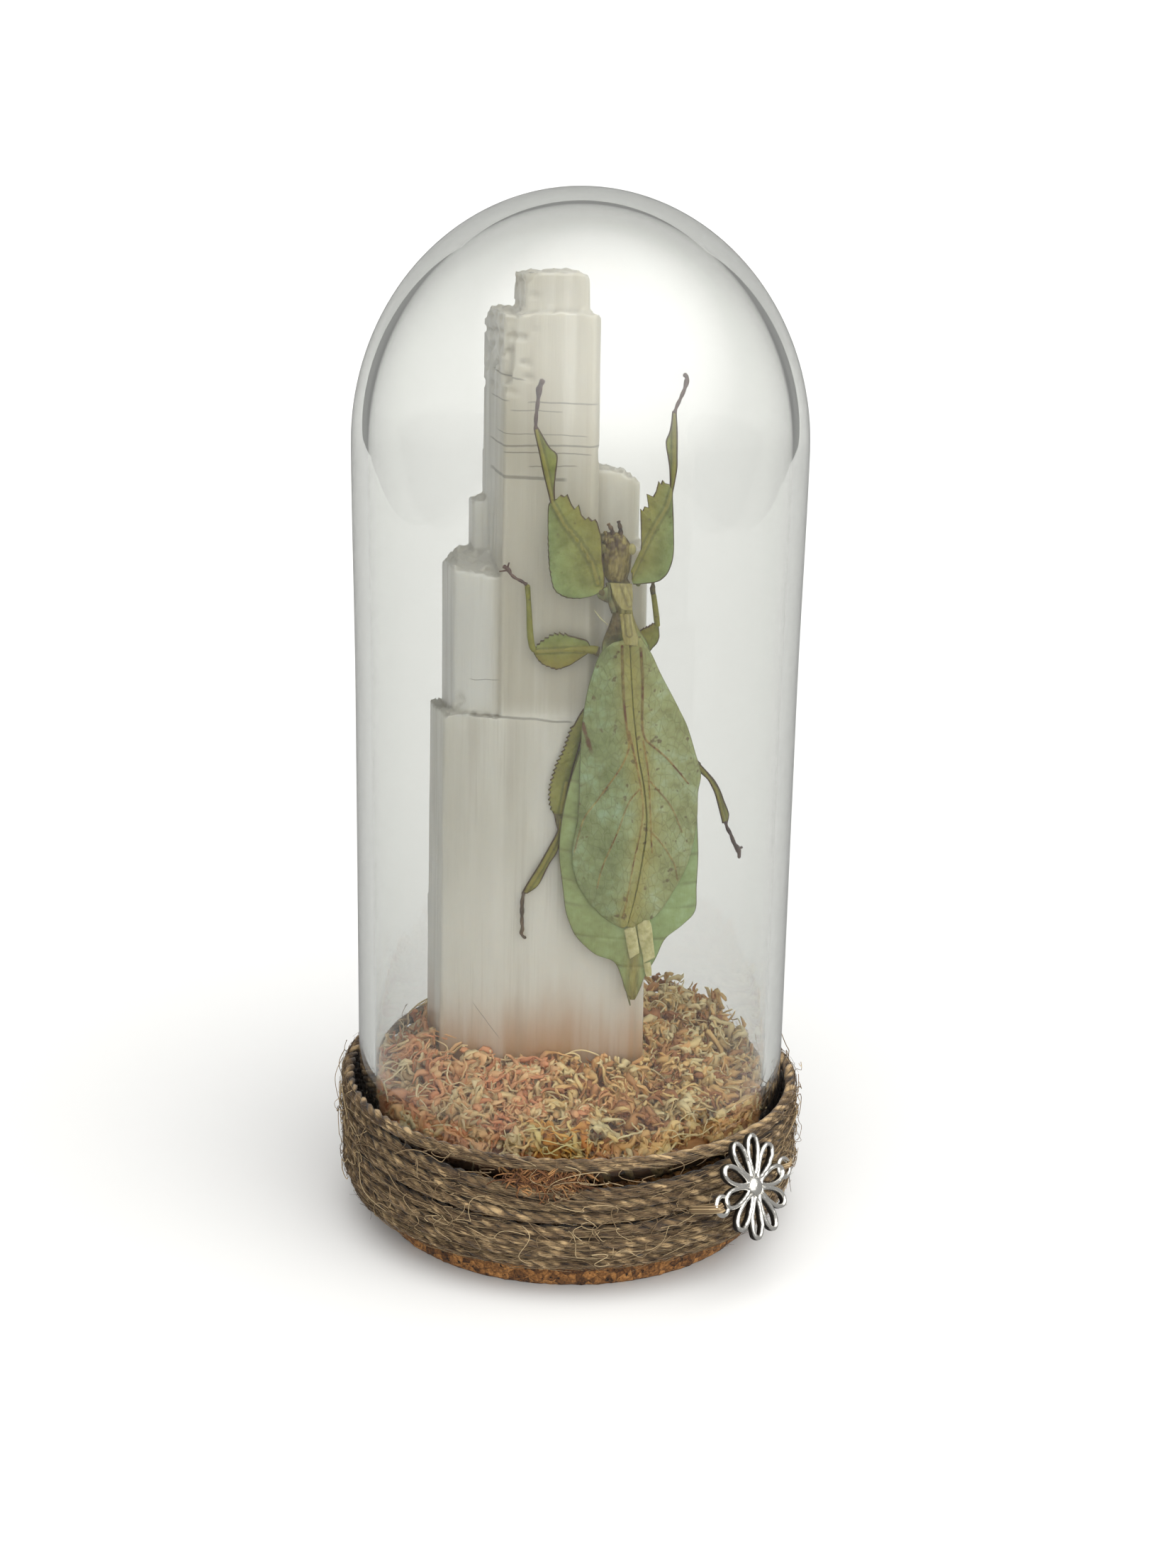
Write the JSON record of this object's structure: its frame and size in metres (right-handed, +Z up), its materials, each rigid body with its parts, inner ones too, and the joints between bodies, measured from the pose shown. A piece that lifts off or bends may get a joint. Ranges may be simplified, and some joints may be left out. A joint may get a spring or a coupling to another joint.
{
  "type": "mounted insect in glass dome",
  "caption": "Dried leaf insect mounted on a stepped selenite tower in moss, under a glass dome on a cork base with a twine wrap and a flower charm.",
  "frame": {"origin": "centre of the flat underside of the cork base, on the dome's axis", "axes": "+Z up along the dome's axis, -Y towards the side the insect faces, +X to the right seen from there"},
  "size_m": [0.0858, 0.088, 0.1905],
  "materials": {
    "cork": "agglomerated cork, matt",
    "clear_glass": "clear, polished",
    "jute": "hairy natural jute twine",
    "dried_moss": "preserved moss, dyed salmon and ochre, matt",
    "selenite": "milky translucent selenite with a silky grain",
    "antique_silver": "antiqued silver plate, dark in the recesses",
    "olive_body": "dried insect skin, satin",
    "mint_wing": "dried wing membrane, satin",
    "leg_green": "dried insect skin, satin"
  },
  "bodies": {
    "root": {"cork_base": "cork", "glass_dome": "clear_glass", "twine_wrap": "jute", "moss_bed": "dried_moss", "selenite_tower": "selenite", "flower_charm": "antique_silver", "insect_body": "olive_body", "forewing_left": "mint_wing", "forewing_right": "mint_wing", "foreleg_left": "leg_green", "foreleg_right": "leg_green", "midleg_left": "leg_green", "midleg_right": "leg_green", "hindleg_left": "leg_green", "hindleg_right": "leg_green"}
  },
  "joints": []
}
